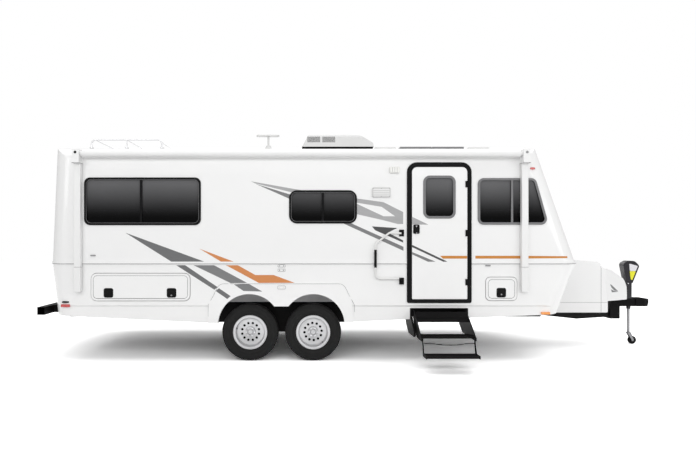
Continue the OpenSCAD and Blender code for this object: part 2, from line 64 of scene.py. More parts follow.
# Wraps a socket, so that sums of sockets read as sums
class Wire:
    def __init__(self, tree, socket):
        self.tree, self.socket = tree, socket

    def __add__(self, other):
        return self.tree.math("ADD", self, other)

    def __radd__(self, other):
        return self.tree.math("ADD", other, self)

    def __sub__(self, other):
        return self.tree.math("SUBTRACT", self, other)

    def __rsub__(self, other):
        return self.tree.math("SUBTRACT", other, self)

    def __mul__(self, other):
        return self.tree.math("MULTIPLY", self, other)

    def __rmul__(self, other):
        return self.tree.math("MULTIPLY", other, self)

    def __lt__(self, other):
        return self.tree.math("LESS_THAN", self, other)

    def step(self, low, high):
        return self.tree.add("ShaderNodeMapRange", {"interpolation_type": "SMOOTHSTEP", "clamp": True},
                             {"Value": self, "From Min": low, "From Max": high})


# A node tree; every node comes from add, which links or sets its inputs and gives back one output
class Tree:
    def __init__(self, tree):
        self.tree = tree
        tree.nodes.clear()

    def add(self, kind, settings=None, values=None, out=0):
        made = self.tree.nodes.new(kind)
        for key, value in (settings or {}).items():
            setattr(made, key, value)
        for key, value in (values or {}).items():
            if isinstance(value, Wire):
                self.tree.links.new(value.socket, made.inputs[key])
            else:
                made.inputs[key].default_value = value
        return Wire(self, made.outputs[out]) if made.outputs else None

    def math(self, operation, *values):
        return self.add("ShaderNodeMath", {"operation": operation}, dict(enumerate(values)))

    # The named outputs of a node that has already been added
    def outputs(self, wire, labels):
        return [Wire(self, wire.socket.node.outputs[label]) for label in labels]

    # 1 on the named kinds of ray and 0 on the others
    def onRays(self, *kinds):
        seen = self.outputs(self.add("ShaderNodeLightPath"), kinds)
        while len(seen) > 1:
            seen.append(self.math("MAXIMUM", seen.pop(0), seen.pop(0)))
        return seen[0]


class Shader(Tree):
    def __init__(self, name, kinds=bpy.data.materials):
        self.owner = kinds.new(name)
        self.owner.use_nodes = True
        super().__init__(self.owner.node_tree)

    def place(self, scale=(1, 1, 1)):
        here = self.add("ShaderNodeTexCoord", out="Object")
        return self.add("ShaderNodeMapping", None, {"Vector": here, "Scale": scale})

    def axis(self, letter):
        here = self.add("ShaderNodeTexCoord", out="Object")
        return self.add("ShaderNodeSeparateXYZ", None, {0: here}, letter)

    def noise(self, scale, detail=3.0, stretch=(1, 1, 1)):
        return self.add("ShaderNodeTexNoise", None,
                        {"Vector": self.place(stretch), "Scale": scale, "Detail": detail}, "Fac")

    def mix(self, factor, first, second):
        return self.add("ShaderNodeMix", {"data_type": "RGBA"}, {0: factor, 6: first, 7: second}, 2)

    def bump(self, height, depth, strength=1.0, under=None):
        values = {"Height": height, "Distance": depth, "Strength": strength}
        if under is not None:
            values["Normal"] = under
        return self.add("ShaderNodeBump", None, values)

    def finish(self, values):
        surface = self.add("ShaderNodeBsdfPrincipled", None, values)
        self.add("ShaderNodeOutputMaterial", None, {"Surface": surface})
        return self.owner


def rgba(colour):
    return (*colour[:3], 1.0)


# A moulded, painted or plastic surface: slight mottling, dust low down, fine surface waviness
def coated(name, colour, rough=0.3, coat=0.0, metal=0.0, grain=220.0, depth=0.00004, mottle=0.03,
           waves=2.5, waveDepth=0.0, dirt=0.0, shine=0.5):
    shader = Shader(name)
    cloud = shader.noise(3.1, 4.0)
    speck = shader.noise(grain, 2.0)
    tone = [max(c * (1 - mottle * 2), 0) for c in colour]
    base = shader.mix(cloud.step(0.35, 0.75), rgba(colour), rgba(tone))
    if dirt:
        low = 1 - shader.axis("Z").step(datum.z + 0.1, datum.z + 1.1)
        base = shader.mix(low * cloud * dirt, base, rgba((0.33, 0.30, 0.26)))
    normal = shader.bump(speck, depth)
    if waveDepth:
        normal = shader.bump(shader.noise(waves, 1.0), waveDepth, 1.0, normal)
    values = {"Base Color": base, "Roughness": rough - 0.05 + cloud * 0.1, "Metallic": metal,
              "Normal": normal, "Specular IOR Level": shine}
    if coat:
        values["Coat Weight"] = coat
        values["Coat Roughness"] = 0.06
    return shader.finish(values)


print("materials")
gelcoat = coated("gelcoat", (0.845, 0.845, 0.843), rough=0.32, coat=0.5, grain=900, depth=0.00002,
                 mottle=0.006, waves=2.2, waveDepth=0.0006, dirt=0.12)
whiteMetal = coated("whiteMetal", (0.81, 0.81, 0.807), rough=0.34, grain=700, mottle=0.008, dirt=0.05)
palePlastic = coated("palePlastic", (0.60, 0.60, 0.595), rough=0.42, grain=500, depth=0.00008, mottle=0.015)
chassisPaint = coated("chassisPaint", (0.005, 0.005, 0.0055), rough=0.44, grain=260, depth=0.00015,
                      mottle=0.2, dirt=0.03, shine=0.05)
frameBlack = coated("frameBlack", (0.005, 0.005, 0.0055), rough=0.33, grain=600, depth=0.00006, mottle=0.15,
                    shine=0.08)
trimGrey = coated("trimGrey", (0.16, 0.16, 0.165), rough=0.38, grain=500, mottle=0.05)
linerGrey = coated("linerGrey", (0.80, 0.80, 0.805), rough=0.75, grain=120, depth=0.0004, mottle=0.1)
# painted shade: a mid grey that draws the shade in grooves, gaps and pressed lines; it is also the grey of
# small catches and label edges
shadowGroove = coated("shadowGroove", (0.30, 0.30, 0.305), rough=0.7, mottle=0.1, shine=0.2)
rubberBlack = coated("rubberBlack", (0.008, 0.008, 0.008), rough=0.62, grain=300, depth=0.00012, mottle=0.2,
                     shine=0.08)
zincGrey = coated("zincGrey", (0.30, 0.30, 0.31), rough=0.42, metal=0.8, grain=160, mottle=0.15)
plateChrome = coated("plateChrome", (0.72, 0.72, 0.74), rough=0.16, metal=1.0, grain=300, depth=0.00001)
tubeMetal = coated("tubeMetal", (0.66, 0.66, 0.67), rough=0.28, metal=0.9, grain=350, depth=0.00003)
handlePale = coated("handlePale", (0.72, 0.72, 0.71), rough=0.35, grain=500, mottle=0.02)
deckPly = coated("deckPly", (0.40, 0.29, 0.18), rough=0.6, grain=60, depth=0.0003, mottle=0.2)
legSteel = coated("legSteel", (0.26, 0.26, 0.27), rough=0.22, metal=0.8, grain=700, mottle=0.1)
rimPaint = coated("rimPaint", (0.50, 0.50, 0.51), rough=0.30, metal=0.55, grain=500, mottle=0.05)
lampRed = coated("lampRed", (0.50, 0.012, 0.012), rough=0.16, coat=0.6, grain=900, mottle=0.1)
lampAmber = coated("lampAmber", (0.85, 0.28, 0.02), rough=0.16, coat=0.6, grain=900, mottle=0.1)
lampClear = coated("lampClear", (0.80, 0.80, 0.77), rough=0.2, coat=0.5, grain=900, mottle=0.02)
jackShell = coated("jackShell", (0.008, 0.007, 0.011), rough=0.24, coat=0.3, grain=400, depth=0.00005,
                   shine=0.2)
panelYellow = coated("panelYellow", (0.80, 0.78, 0.02), rough=0.35, grain=500, mottle=0.03)
panelWhite = coated("panelWhite", (0.75, 0.74, 0.77), rough=0.35, grain=500, mottle=0.03)


# Stripes are cast vinyl with a faint brushed tone
def vinyl(name, colour, rough=0.38):
    shader = Shader(name)
    streak = shader.noise(30.0, 3.0, (0.4, 1, 5))
    base = shader.mix(streak.step(0.3, 0.7), rgba(colour), rgba([c * 0.93 for c in colour]))
    return shader.finish({"Base Color": base, "Roughness": rough + streak * 0.06,
                          "Normal": shader.bump(streak, 0.00002)})


stripeFinishes = [vinyl("vinylDark", (0.125, 0.127, 0.13)), vinyl("vinylMid", (0.175, 0.177, 0.18)),
                  vinyl("vinylLight", (0.37, 0.37, 0.375)), vinyl("vinylOrange", (0.60, 0.225, 0.068)),
                  vinyl("vinylGold", (0.55, 0.21, 0.03)), vinyl("vinylBlack", (0.04, 0.04, 0.042))]


# Privacy glass: near black, with a painted reflection that makes it a little lighter towards the top of each
# pane
def privacyGlass():
    shader = Shader("privacyGlass")
    # painted reflection: the pane's colour is mixed from black up to grey towards its top, as if the sky were
    # mirrored in it
    height = shader.axis("Z").step(datum.z + 1.80, datum.z + 2.40)
    ripple = shader.noise(1.6, 1.0)
    base = shader.mix(height * (0.85 + ripple * 0.3), rgba((0.0008, 0.0008, 0.001)),
                      rgba((0.15, 0.15, 0.155)))
    return shader.finish({"Base Color": base, "Roughness": 0.05 + ripple * 0.03, "Specular IOR Level": 0.1,
                          "Alpha": 0.97, "Normal": shader.bump(ripple, 0.0004, 0.5)})


darkGlass = privacyGlass()


def solarCells():
    shader = Shader("solarCells")
    cell = {"size": 0.078, "line": 0.035}
    lines = [shader.math("FRACT", shader.axis(letter) * (1 / cell["size"])) < cell["line"]
             for letter in ("X", "Y")]
    mask = shader.math("MAXIMUM", *lines)
    base = shader.mix(mask, rgba((0.006, 0.008, 0.022)), rgba((0.22, 0.23, 0.25)))
    return shader.finish({"Base Color": base, "Roughness": 0.12 + mask * 0.2, "Coat Weight": 0.4,
                          "Normal": shader.bump(mask, 0.0002)})


solarFace = solarCells()


def tyreRubber():
    shader = Shader("tyreRubber")
    speck = shader.noise(420.0, 3.0)
    cloud = shader.noise(9.0, 4.0)
    dust = cloud.step(0.45, 0.8) * 0.35
    base = shader.mix(dust, rgba((0.009, 0.009, 0.009)), rgba((0.022, 0.0215, 0.0205)))
    return shader.finish({"Base Color": base, "Roughness": 0.55 + cloud * 0.2, "Specular IOR Level": 0.16,
                          "Normal": shader.bump(speck, 0.0002)})


tyreBlack = tyreRubber()


def newObject(name, data):
    made = bpy.data.objects.new(name, data)
    bpy.context.scene.collection.objects.link(made)
    return made


def asMesh(name, shape):
    mesh = bpy.data.meshes.new(name)
    shape.to_mesh(mesh)
    shape.free()
    return mesh


# A CAD node's mesh as a shape that can be worked on
def copyOf(node, merge=True):
    shape = bmesh.new()
    shape.from_mesh(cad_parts[node].data)
    if merge:
        bmesh.ops.remove_doubles(shape, verts=shape.verts[:], dist=mergeGap)
    return shape


# Gives a finish to the faces round some vertices
def finishRound(verts, index):
    for face in {face for vert in verts for face in vert.link_faces}:
        face.material_index = index


# Gives a finish to the faces made since there were this many
def finishSince(shape, before, index):
    shape.faces.ensure_lookup_table()
    for face in shape.faces[before:]:
        face.material_index = index


# Every visible piece is made here, and given its body, materials and replaced nodes
def newPiece(name, mesh, body, materials, replaced=()):
    piece = newObject(name, mesh)
    if materials and not mesh.materials:
        for each in materials:
            mesh.materials.append(each)
    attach(piece, body)
    if replaced:
        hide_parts(*replaced)
    return piece


def fromShape(name, shape, body, materials, replaced=(), smooth=35, bevel=0.0, weighted=True):
    bmesh.ops.recalc_face_normals(shape, faces=shape.faces[:])
    softEdges(shape, smooth)
    piece = newPiece(name, asMesh(name, shape), body, materials, replaced)
    finishEdges(piece, bevel, 2, smooth, weighted)


def softEdges(shape, degrees):
    limit = math.radians(degrees)
    for face in shape.faces:
        face.smooth = True
    for edge in shape.edges:
        edge.smooth = len(edge.link_faces) == 2 and edge.calc_face_angle(0) < limit


def finishEdges(piece, width, segments, degrees, weighted=True):
    if width:
        rounding = piece.modifiers.new("edge", "BEVEL")
        rounding.width = width
        rounding.segments = segments
        rounding.limit_method = "ANGLE"
        rounding.angle_limit = math.radians(degrees)
        rounding.use_clamp_overlap = True
        rounding.harden_normals = False
    if weighted:
        even = piece.modifiers.new("even", "WEIGHTED_NORMAL")
        even.keep_sharp = True
        even.weight = 100


# A CAD node shown with merged, rounded and evenly shaded edges; zones are (material, test of a face) pairs
def refined(node, body, material, bevel, degrees=30, segments=2, zones=()):
    shape = copyOf(node)
    bmesh.ops.dissolve_limit(shape, angle_limit=math.radians(0.4), verts=shape.verts[:],
                             edges=shape.edges[:], delimit=set())
    softEdges(shape, degrees)
    for index, (_, test) in enumerate(zones):
        for face in shape.faces:
            if test(face, face.calc_center_median() - datum):
                face.material_index = index + 1
    piece = newPiece(node + "Shown", asMesh(node + "Shown", shape), body,
                     [material] + [zone[0] for zone in zones], [node])
    finishEdges(piece, bevel, segments, degrees)


def addBox(shape, low, high):
    low, high = Vector(low), Vector(high)
    made = bmesh.ops.create_cube(shape, size=1.0)["verts"]
    middle, size = (low + high) / 2, high - low
    for vert in made:
        vert.co = Vector(c * s for c, s in zip(vert.co, size)) + middle
    return made


def addCylinder(shape, centre, axis, radius, length, sides=32, tip=None, index=0):
    turn = Vector(axis).to_track_quat("Z", "Y").to_matrix().to_4x4()
    place = Matrix.Translation(centre) @ turn
    made = bmesh.ops.create_cone(shape, cap_ends=True, segments=sides, radius1=radius,
                                 radius2=radius if tip is None else tip, depth=length, matrix=place)["verts"]
    finishRound(made, index)


# Rounds the corners of a path, given as points with the same bend radius
def roundedPath(points, radius, steps=6, closed=False):
    points = [Vector(p) for p in points]
    out = []
    count = len(points)
    for i, corner in enumerate(points):
        if not closed and i in (0, count - 1):
            out.append(corner)
            continue
        before, after = points[i - 1], points[(i + 1) % count]
        a, b = (before - corner).normalized(), (after - corner).normalized()
        half = a.angle(b) / 2
        reach = min(radius / math.tan(half), 0.49 * (before - corner).length, 0.49 * (after - corner).length)
        bend = reach * math.tan(half)
        middle = corner + (a + b).normalized() * (bend / math.sin(half))
        start, end = corner + a * reach - middle, corner + b * reach - middle
        turn = start.angle(end)
        for k in range(steps + 1):
            t = k / steps
            if turn < 1e-4:
                out.append(middle + start.lerp(end, t))
                continue
            out.append(middle + start * (math.sin((1 - t) * turn) / math.sin(turn))
                       + end * (math.sin(t * turn) / math.sin(turn)))
    return out


# Sweeps a section, a list of (side, up) offsets, along a path
def addSweep(shape, path, section, up=Vector((0, 0, 1)), closed=False):
    rings = []
    count = len(path)
    for i, point in enumerate(path):
        before = path[i - 1] if closed or i else point
        after = path[(i + 1) % count] if closed or i < count - 1 else point
        ahead = (after - before).normalized()
        side = ahead.cross(up)
        side = side.normalized() if side.length > 1e-4 else Vector((1, 0, 0))
        lift = side.cross(ahead).normalized()
        rings.append([shape.verts.new(point + side * s + lift * u) for s, u in section])
    pairs = list(zip(rings, rings[1:])) + ([(rings[-1], rings[0])] if closed else [])
    for one, two in pairs:
        for k in range(len(section)):
            j = (k + 1) % len(section)
            shape.faces.new((one[k], one[j], two[j], two[k]))
    if not closed:
        shape.faces.new(rings[0])
        shape.faces.new(list(reversed(rings[-1])))


def circleSection(radius, sides=16):
    return [(radius * math.cos(2 * math.pi * k / sides), radius * math.sin(2 * math.pi * k / sides))
            for k in range(sides)]


def addTube(shape, points, radius, bend=0.04, sides=16, up=Vector((0.02, 0.31, 0.95)).normalized()):
    addSweep(shape, roundedPath(points, bend), circleSection(radius, sides), up)


# Turns a profile of (radius, along) pairs about an axis through centre
def addTurned(shape, profile, centre, axis, sides):
    turn = Vector(axis).to_track_quat("Z", "Y").to_matrix()
    rings = []
    for k in range(sides):
        a = 2 * math.pi * k / sides
        rings.append([shape.verts.new(Vector(centre) + turn @ Vector((r * math.cos(a), r * math.sin(a), z)))
                      for r, z in profile])
    size = len(profile)
    for k in range(sides):
        one, two = rings[k], rings[(k + 1) % sides]
        for j in range(size):
            shape.faces.new((one[j], two[j], two[(j + 1) % size], one[(j + 1) % size]))


# A flat outline with rounded corners, from corners given as (across, up)
def roundedOutline(corners, radius, steps=6):
    flat = [Vector((a, b, 0)) for a, b in corners]
    return [(p.x, p.y) for p in roundedPath(flat, radius, steps, closed=True)]


def boxCorners(x0, z0, x1, z1):
    return [(x0, z0), (x1, z0), (x1, z1), (x0, z1)]


# A plate or ring on a side wall: outline in (x, z) of the datum, standing from inner to outer metres off it
def addPlate(shape, outline, inner, outer, side=-1, hole=None, node=None, index=0):
    before = len(shape.faces)

    def ring(points, off):
        return [shape.verts.new(onWall(x, z, side, off, node)) for x, z in points]
    outerBack, outerFront = ring(outline, inner), ring(outline, outer)
    count = len(outline)
    if hole:
        holeBack, holeFront = ring(hole, inner), ring(hole, outer)
        for k in range(count):
            j = (k + 1) % count
            shape.faces.new((outerBack[k], outerBack[j], outerFront[j], outerFront[k]))
            shape.faces.new((holeBack[j], holeBack[k], holeFront[k], holeFront[j]))
            shape.faces.new((outerFront[k], outerFront[j], holeFront[j], holeFront[k]))
            shape.faces.new((outerBack[j], outerBack[k], holeBack[k], holeBack[j]))
    else:
        shape.faces.new(outerFront)
        shape.faces.new(list(reversed(outerBack)))
        for k in range(count):
            j = (k + 1) % count
            shape.faces.new((outerBack[k], outerBack[j], outerFront[j], outerFront[k]))
    finishSince(shape, before, index)


wallTrees = {}


# Where a line square to a side wall meets the outside of a node, if it does
def wallHit(x, z, side, node):
    if node not in wallTrees:
        shape = copyOf(node, False)
        wallTrees[node] = BVHTree.FromBMesh(shape)
        shape.free()
    hit = wallTrees[node].ray_cast(at(x, side * (bodyHalf + 0.5), z), Vector((0, -side, 0)))[0]
    shell = node in ("upper_shell", "lower_shell", "entry_door")
    return None if hit is None or shell and abs(hit.y - side * bodyHalf) > 0.15 else hit


# The point that stands off metres out from a side wall, on the flat wall or on a named node's own face
def onWall(x, z, side, off, node=None):
    hit = wallHit(x, z, side, node) if node else None
    return at(x, (hit.y if hit else side * bodyHalf) + side * off, z)


# A tree that sets a shape out in a ring or a grid, as real faces in one finish
def repeatTree(kind, sizes):
    group = bpy.data.node_groups.new(kind + "Repeat", "GeometryNodeTree")
    group.interface.new_socket("Geometry", in_out="OUTPUT", socket_type="NodeSocketGeometry")
    inputs = {"Shape": "Object", "Finish": "Material", **sizes}
    for label, socketKind in inputs.items():
        group.interface.new_socket(label, in_out="INPUT", socket_type="NodeSocket" + socketKind)
    tree = Tree(group)
    given = dict(zip(inputs, tree.outputs(tree.add("NodeGroupInput"), inputs)))
    spread = {"Instance": tree.add("GeometryNodeObjectInfo", None, {"Object": given["Shape"]}, "Geometry")}
    if kind == "ring":
        spread["Points"] = tree.add("GeometryNodeMeshCircle", None,
                                    {"Vertices": given["Count"], "Radius": given["Radius"]})
        share = tree.math("DIVIDE", tree.add("GeometryNodeInputIndex"), given["Count"])
        spread["Rotation"] = tree.add("ShaderNodeCombineXYZ", None, {"Z": share * (2 * math.pi)})
    else:
        spread["Points"] = tree.add("GeometryNodeMeshGrid", None,
                                    {"Size X": given["Width"], "Size Y": given["Height"],
                                     "Vertices X": given["Columns"], "Vertices Y": given["Rows"]})
    shapes = tree.add("GeometryNodeInstanceOnPoints", None, spread)
    real = tree.add("GeometryNodeRealizeInstances", None, {0: shapes})
    done = tree.add("GeometryNodeSetMaterial", None, {"Geometry": real, "Material": given["Finish"]})
    tree.add("NodeGroupOutput", None, {0: done})
    return group


repeaters = {"ring": repeatTree("ring", {"Count": "Int", "Radius": "Float"}),
             "grid": repeatTree("grid", {"Columns": "Int", "Rows": "Int", "Width": "Float",
                                         "Height": "Float"})}


def repeated(kind, shape, finish, **sizes):
    holder = newObject("holder", bpy.data.meshes.new("holder"))
    modifier = holder.modifiers.new("repeat", "NODES")
    modifier.node_group = repeaters[kind]
    settings = {"Shape": shape, "Finish": finish, **sizes}
    for item in repeaters[kind].interface.items_tree:
        if item.in_out == "INPUT":
            modifier[item.identifier] = settings[item.name]
    graph = bpy.context.evaluated_depsgraph_get()
    mesh = bpy.data.meshes.new_from_object(holder.evaluated_get(graph), depsgraph=graph)
    holder.modifiers.remove(modifier)
    bpy.data.objects.remove(holder)
    return mesh


# One nut, hole or screw, made as an object for a repeater to read
def template(shape, finish=None):
    softEdges(shape, 35)
    piece = newObject("template", asMesh("template", shape))
    if finish:
        piece.data.materials.append(finish)
    return piece


def drop(*pieces):
    for piece in pieces:
        bpy.data.objects.remove(piece)


# Joins repeated meshes, each with its own placing, into one piece
def joined(name, parts, body):
    shape = bmesh.new()
    materials = []
    for mesh, place in parts:
        before = len(shape.faces)
        start = len(shape.verts)
        shape.from_mesh(mesh)
        shape.verts.ensure_lookup_table()
        shape.faces.ensure_lookup_table()
        bmesh.ops.transform(shape, matrix=place, verts=shape.verts[start:])
        for material in mesh.materials:
            if material not in materials:
                materials.append(material)
        for face in shape.faces[before:]:
            face.material_index = materials.index(mesh.materials[face.material_index])
    newPiece(name, asMesh(name, shape), body, materials)


def buildStage():
    stage = {"floor": 60.0, "seenWhite": 1.65, "floorTone": 0.62, "sky": 0.62}
    half, white, tone = stage["floor"] / 2, stage["seenWhite"], stage["floorTone"]
    floor = newObject("floor", bpy.data.meshes.new("floor"))
    floor.data.from_pydata([(x * half, y * half, rearTyre[0].z) for x, y in boxCorners(-1, -1, 1, 1)], [],
                           [(0, 1, 2, 3)])
    shader = Shader("floorWhite")
    seen = shader.onRays("Is Camera Ray", "Is Glossy Ray", "Is Transmission Ray")
    colour = shader.mix(seen, (tone, tone, tone, 1), (white, white, white, 1))
    soft = shader.add("ShaderNodeBsdfDiffuse", None, {"Color": colour})
    shader.add("ShaderNodeOutputMaterial", None, {"Surface": soft})
    floor.data.materials.append(shader.owner)

    sky = Shader("studio", bpy.data.worlds)
    bpy.context.scene.world = sky.owner
    level = sky.add("ShaderNodeMapRange", None, {"Value": sky.onRays("Is Camera Ray", "Is Transmission Ray"),
                                                 "To Min": stage["sky"], "To Max": 1.0})
    back = sky.add("ShaderNodeBackground", None, {"Color": (1, 1, 1, 1), "Strength": level})
    sky.add("ShaderNodeOutputWorld", None, {"Surface": back})

    # each soft box: place and aim from the datum, size in metres, watts
    softBoxes = {"overhead": ((1.0, -0.5, 8.5), (1.0, 0, 1.0), (16, 9), 500),
                 "nearKey": ((-1.0, -10.5, 5.5), (1.0, 0, 1.3), (14, 4), 425),
                 "tongueFill": ((8.0, -6.5, 3.2), (4.6, 0, 0.9), (4, 3), 90),
                 "farFill": ((1.0, 10.5, 5.0), (1.0, 0, 1.3), (14, 5), 300)}
    for name, (place, aim, size, power) in softBoxes.items():
        lamp = bpy.data.lights.new(name, "AREA")
        lamp.shape, lamp.size, lamp.size_y, lamp.energy = "RECTANGLE", size[0], size[1], power
        holder = newObject(name, lamp)
        holder.location = at(*place)
        holder.rotation_euler = (at(*aim) - at(*place)).to_track_quat("-Z", "Y").to_euler()


def buildCamera():
    view = {"lens": 27.52, "station": 0.262, "back": 7.97, "height": 1.533, "shift": (0.0661, 0.0115)}
    camera = newObject("camera", bpy.data.cameras.new("camera"))
    camera.data.lens = view["lens"]
    camera.data.sensor_width = 36.0
    camera.data.shift_x, camera.data.shift_y = view["shift"]
    camera.data.clip_end = 200.0
    camera.location = at(view["station"], -view["back"], view["height"])
    camera.rotation_euler = (math.radians(90), 0, 0)
    bpy.context.scene.camera = camera


bpy.context.scene.view_settings.view_transform = "Standard"
buildStage()
buildCamera()


print("shells and openings")
plainNodes = (
    # slot, material, and the edge rounding of each node in metres
    ("well_liner", linerGrey, {"wheel_wells": 0.004, "storage_boxes": 0.003}),
    ("chassis_black", chassisPaint, {
        "near_rail": 0.004, "far_rail": 0.004, "crossmembers": 0.003, "coupler": 0.004,
        "rear_bumper": 0.006, "axles": 0.003, "springs": 0.002}),
    ("frame_black", frameBlack, {"door_frame": 0.003}),
    ("white_metal", whiteMetal, {"awning_arms": 0.006}),
    ("frame_black", frameBlack, {"handle_mounts": 0.003}),
    ("chassis_black", chassisPaint, {"step_housing": 0.001, "upper_step": 0.0015, "lower_step": 0.0015}),
    ("pale_plastic", palePlastic, {
        "vent_bases": 0.003, "mid_vent_lid": 0.006, "front_vent_lid": 0.006, "antenna_mast": 0.003,
        "antenna_head": 0.005}),
    ("white_gelcoat", gelcoat, {"gas_cover": 0.012}),
    ("jack_black", jackShell, {"jack_body": 0.008}),
    ("chrome_tube", legSteel, {"jack_leg": 0.001}),
    ("zinc_grey", zincGrey, {"caster_fork": 0.0015}),
    ("caster_rubber", rubberBlack, {"caster_wheel": 0.006}),
    ("pale_plastic", palePlastic, {"side_vents": 0.003}),
)
# These move on a body of their own name, and the rest ride the trailer
moving = ("upper_step", "lower_step", "mid_vent_lid", "front_vent_lid", "antenna_head", "jack_leg",
          "caster_fork", "caster_wheel")
for node in ("upper_shell", "lower_shell"):
    refined(node, "trailer", gelcoat, 0.003, 24)
for slot, material, roundings in plainNodes:
    for node, rounding in roundings.items():
        refined(node, node if node in moving else "trailer", material, rounding)
for node, body in (("window_glass", "trailer"), ("door_glass", "entry_door")):
    refined(node, body, darkGlass, 0.0)
# Nodes with a second finish on the faces that a test of the face and its centre picks; in metres, from the
# datum or, where something stands proud, off the wall
zoneEdges = {"doorProud": 0.0164, "doorHinge": 2.3545, "hatchProud": 0.0085, "portProud": 0.006,
             "portRear": 2.45, "coolerBase": 2.871, "tailLamps": -2.5}
refined("floor_deck", "trailer", deckPly, 0.002,
        zones=[(chassisPaint, lambda face, c: face.normal.z < -0.5 or abs(face.normal.y) > 0.5)])
refined("entry_door", "entry_door", gelcoat, 0.002,
        zones=[(frameBlack, lambda face, c: c.y < -bodyHalf - zoneEdges["doorProud"]
                or c.x > zoneEdges["doorHinge"])])
for node in ("rear_hatch", "front_hatch", "off_side_hatch"):
    refined(node, node, gelcoat, 0.003,
            zones=[(frameBlack, lambda face, c: abs(c.y) > bodyHalf + zoneEdges["hatchProud"])])
refined("window_frames", "trailer", frameBlack, 0.0025,
        zones=[(trimGrey, lambda face, c: c.x > zoneEdges["portRear"]
                and c.y < -bodyHalf - zoneEdges["portProud"])])
refined("air_conditioner", "trailer", palePlastic, 0.006,
        zones=[(rubberBlack, lambda face, c: c.z < zoneEdges["coolerBase"])])
refined("solar_panels", "trailer", solarFace, 0.002,
        zones=[(trimGrey, lambda face, c: abs(face.normal.z) < 0.5)])
refined("lamps", "trailer", lampClear, 0.004,
        zones=[(lampRed, lambda face, c: c.x < zoneEdges["tailLamps"])])


print("stripes")
stripeSizes = {"pitch": 0.015, "lift": 0.0006}


# A stripe is a flat outline, cut into a fine mesh and laid on the wall behind it
def layStripe(shape, corners, node, side, finish):
    flat = bmesh.new()
    flat.faces.new([flat.verts.new((x, 0, z)) for x, z in corners])
    xs, zs = [c[0] for c in corners], [c[1] for c in corners]
    pitch = stripeSizes["pitch"]
    for low, high, normal in ((min(xs), max(xs), Vector((1, 0, 0))),
                              (min(zs), max(zs), Vector((0, 0, 1)))):
        for k in range(int(low / pitch), int(high / pitch) + 2):
            bmesh.ops.bisect_plane(flat, geom=flat.verts[:] + flat.edges[:] + flat.faces[:],
                                   plane_co=normal * (k * pitch), plane_no=normal)
    if side > 0:          # this side's windows are elsewhere, and no stripe crosses an opening
        over = [vert for vert in flat.verts if not wallHit(vert.co.x, vert.co.z, side, node)]
        bmesh.ops.delete(flat, geom=over, context="VERTS")
    moved = {vert: shape.verts.new(onWall(vert.co.x, vert.co.z, side, stripeSizes["lift"], node))
             for vert in flat.verts}
    for face in flat.faces:
        made = shape.faces.new([moved[vert] for vert in face.verts])
        made.material_index = finish
        made.normal_update()
        if made.normal.y * side < 0:
            made.normal_flip()
    flat.free()


stripes = {
    # node: finish, and corners as x, z of the datum in metres
    # finishes: 0 dark, 1 mid, 2 light, 3 orange, 4 gold, 5 black
    "upper_shell": (
        (0, ((-1.979, 1.626), (-0.978, 1.259), (-1.397, 1.259))),
        (3, ((-1.040, 1.423), (-0.605, 1.259), (-0.765, 1.259))),
        (2, ((-0.386, 2.277), (0.245, 2.166), (0.235, 2.150), (0.130, 2.138), (-0.330, 2.251))),
        (1, ((-0.329, 2.246), (0.112, 2.110), (0.112, 2.052))),
        (2, ((0.945, 2.062), (1.296, 2.013), (1.273, 1.954), (0.945, 2.009))),
        (2, ((1.296, 2.013), (1.545, 1.888), (1.545, 1.834), (1.443, 1.834), (1.273, 1.954))),
        (2, ((0.945, 1.998), (1.296, 1.834), (1.307, 1.781), (0.945, 1.864))),
        (2, ((1.296, 1.834), (1.545, 1.834), (1.545, 1.736), (1.477, 1.736), (1.307, 1.781))),
        (5, ((1.149, 1.706), (1.472, 1.685), (1.352, 1.627), (1.189, 1.657))),
        (5, ((1.189, 1.657), (1.352, 1.627), (1.545, 1.528), (1.545, 1.500))),
        (1, ((0.749, 1.760), (0.854, 1.760), (1.549, 1.447), (1.549, 1.396))),
        (4, ((2.461, 1.297), (2.461, 1.333), (3.026, 1.333), (3.640, 1.327), (3.640, 1.303), (3.026, 1.297))),
    ),
    "lower_shell": (
        (0, ((-1.334, 1.213), (-1.219, 1.213), (-0.808, 0.935), (-0.850, 0.902))),
        (0, ((-0.832, 0.888), (-0.790, 0.923), (-0.641, 0.822), (-0.685, 0.786))),
        (1, ((-1.113, 1.213), (-0.854, 1.213), (-0.435, 0.990), (-0.632, 0.981))),
        (1, ((-0.600, 0.970), (-0.415, 0.980), (-0.240, 0.880), (-0.480, 0.888))),
        (3, ((-0.703, 1.213), (-0.552, 1.213), (-0.329, 1.089), (-0.285, 0.988))),
        (3, ((-0.329, 1.089), (-0.097, 1.089), (0.169, 0.990), (-0.285, 0.988))),
    ),
    "entry_door": (
        (2, ((1.657, 1.826), (1.862, 1.728), (1.657, 1.728))),
        (5, ((1.657, 1.471), (2.103, 1.260), (2.050, 1.258), (1.657, 1.442))),
        (1, ((1.657, 1.380), (1.951, 1.260), (1.857, 1.258), (1.657, 1.351))),
        (4, ((2.045, 1.297), (2.010, 1.333), (2.352, 1.333), (2.352, 1.297))),
    ),
    "gas_cover": (
        (1, ((4.668, 0.902), (4.700, 0.890), (4.840, 0.792), (4.760, 0.805), (4.700, 0.850))),
        (1, ((4.690, 0.826), (4.760, 0.800), (4.850, 0.783), (4.705, 0.783))),
    ),
}
for node, table in stripes.items():
    shape = bmesh.new()
    onDoor = node == "entry_door"      # the far side has no door
    for finish, corners in table:
        for side in (-1,) if onDoor else (-1, 1):
            layStripe(shape, corners, node, side, finish)
    newPiece(node + "Stripes", asMesh(node + "Stripes", shape), node if onDoor else "trailer",
             stripeFinishes)


print("wheels")
